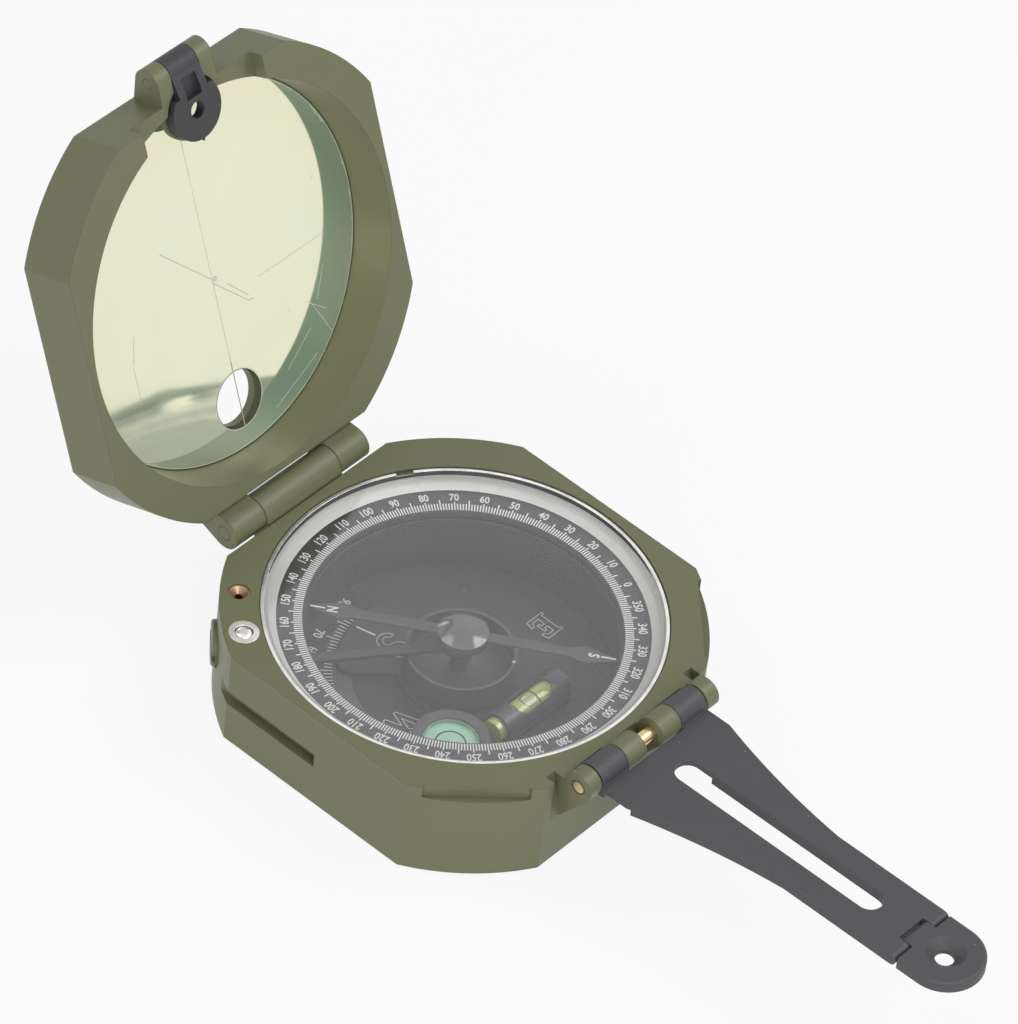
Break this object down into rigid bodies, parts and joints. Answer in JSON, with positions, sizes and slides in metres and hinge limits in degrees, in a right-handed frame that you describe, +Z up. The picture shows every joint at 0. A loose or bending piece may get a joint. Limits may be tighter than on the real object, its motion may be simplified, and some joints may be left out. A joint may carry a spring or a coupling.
{
  "type": "pocket transit compass",
  "caption": "Folding pocket transit compass: cased dial, needle and levels under glass, hinged mirror lid, slotted sight arm with a peep leaf.",
  "frame": {"origin": "centre of the case's underside, on the axis of the dial and needle", "axes": "+Z up along the dial axis, +Y towards the lid hinge, -Y along the sight arm"},
  "size_m": [0.071, 0.1851, 0.0938],
  "materials": {
    "olive_paint": "satin",
    "black_paint": "satin",
    "mirror_glass": "polished",
    "clear_glass": "polished",
    "steel": "satin",
    "brass": "satin",
    "olive_knob": "satin",
    "white_enamel": "satin",
    "dial_black": "matte",
    "black_works": "satin",
    "needle_steel": "satin",
    "jewel": "polished",
    "vial_liquid": "polished",
    "round_level_liquid": "polished"
  },
  "bodies": {
    "case": {"case_base": "olive_paint", "lid_hinge_pin": "steel", "arm_hinge_pin": "brass", "crystal": "clear_glass", "crystal_ring": "steel", "dial_retainer": "white_enamel", "scale_plate": "dial_black", "spindle_bush": "brass", "lift_bush": "steel", "brass_eyelet": "brass", "adjuster_bush": "brass", "lift_lever_pin": "steel", "lift_spring": "steel"},
    "lid": {"lid_shell": "olive_paint", "mirror": "mirror_glass", "lid_sight_pin": "steel"},
    "small_sight": {"lid_sight": "black_paint"},
    "arm": {"sight_arm": "black_paint", "peep_pin": "steel"},
    "leaf": {"peep_leaf": "black_paint"},
    "dial": {"dial_ring": "dial_black"},
    "adjuster": {"adjuster_pinion": "brass", "adjuster_knob": "olive_knob"},
    "lift_button": {"lift_pin": "steel"},
    "lifter": {"lift_lever": "black_works"},
    "collar": {"lift_collar": "black_works"},
    "needle": {"needle_bar": "needle_steel", "needle_bush": "black_works", "needle_cap": "black_works", "pivot_jewel": "jewel"},
    "levels": {"clinometer_spindle": "brass", "needle_pivot": "steel", "damping_cup": "black_works", "clinometer_plate": "dial_black", "tube_level_holder": "black_works", "tube_level_vial": "vial_liquid", "circular_level_housing": "black_works", "circular_level_glass": "round_level_liquid", "clinometer_lever": "black_works", "lever_screw": "steel"}
  },
  "joints": [
    {"name": "lid_hinge", "type": "hinge", "parent": "case", "child": "lid", "pos_m": [0, 0.0393, 0.0196], "axis": [-1, 0, 0], "range_deg": [-110.5, 69.5]},
    {"name": "arm_fold", "type": "hinge", "parent": "case", "child": "arm", "pos_m": [0, -0.0388, 0.0196], "axis": [-1, 0, 0], "range_deg": [0, 179.2]},
    {"name": "leaf_fold", "type": "hinge", "parent": "arm", "child": "leaf", "pos_m": [0, -0.09701, 0.01906], "axis": [1, 0, 0], "range_deg": [-90, 0]},
    {"name": "small_sight_fold", "type": "hinge", "parent": "lid", "child": "small_sight", "pos_m": [0, 0.07217, 0.09123], "axis": [-1, 0, 0], "range_deg": [0, 180]},
    {"name": "needle_spin", "type": "hinge", "parent": "collar", "child": "needle", "pos_m": [0, 0, 0], "axis": [0, 0, 1], "continuous": true},
    {"name": "dial_turn", "type": "hinge", "parent": "case", "child": "dial", "pos_m": [0, 0, 0], "axis": [0, 0, 1], "range_deg": [-100, 100]},
    {"name": "adjuster_turn", "type": "hinge", "parent": "case", "child": "adjuster", "pos_m": [0, 0, 0.0108], "axis": [-0.7071, 0.7071, 0], "range_deg": [-1126, 1126]},
    {"name": "levels_turn", "type": "hinge", "parent": "case", "child": "levels", "pos_m": [0, 0, 0], "axis": [0, 0, 1], "range_deg": [0, 180]},
    {"name": "lift_press", "type": "slide", "parent": "case", "child": "lift_button", "axis": [0, 0, -1], "range_m": [0, 0.0004], "stiffness_N_per_m": 400, "springref_m": -0.0006},
    {"name": "lifter_tilt", "type": "hinge", "parent": "case", "child": "lifter", "pos_m": [-0.02346, 0.01705, 0.01095], "axis": [-0.5878, -0.809, 0], "range_deg": [-0.1, 3]},
    {"name": "collar_rise", "type": "slide", "parent": "case", "child": "collar", "axis": [0, 0, 1], "range_m": [-0.00005, 0.0015]}
  ],
  "couplings": [
    {"joint": "adjuster_turn", "follows": "dial_turn", "ratio": -11.25},
    {"joint": "lifter_tilt", "follows": "lift_press", "rad_per_m": 125.79},
    {"joint": "collar_rise", "follows": "lift_press", "ratio": 3.6478}
  ]
}
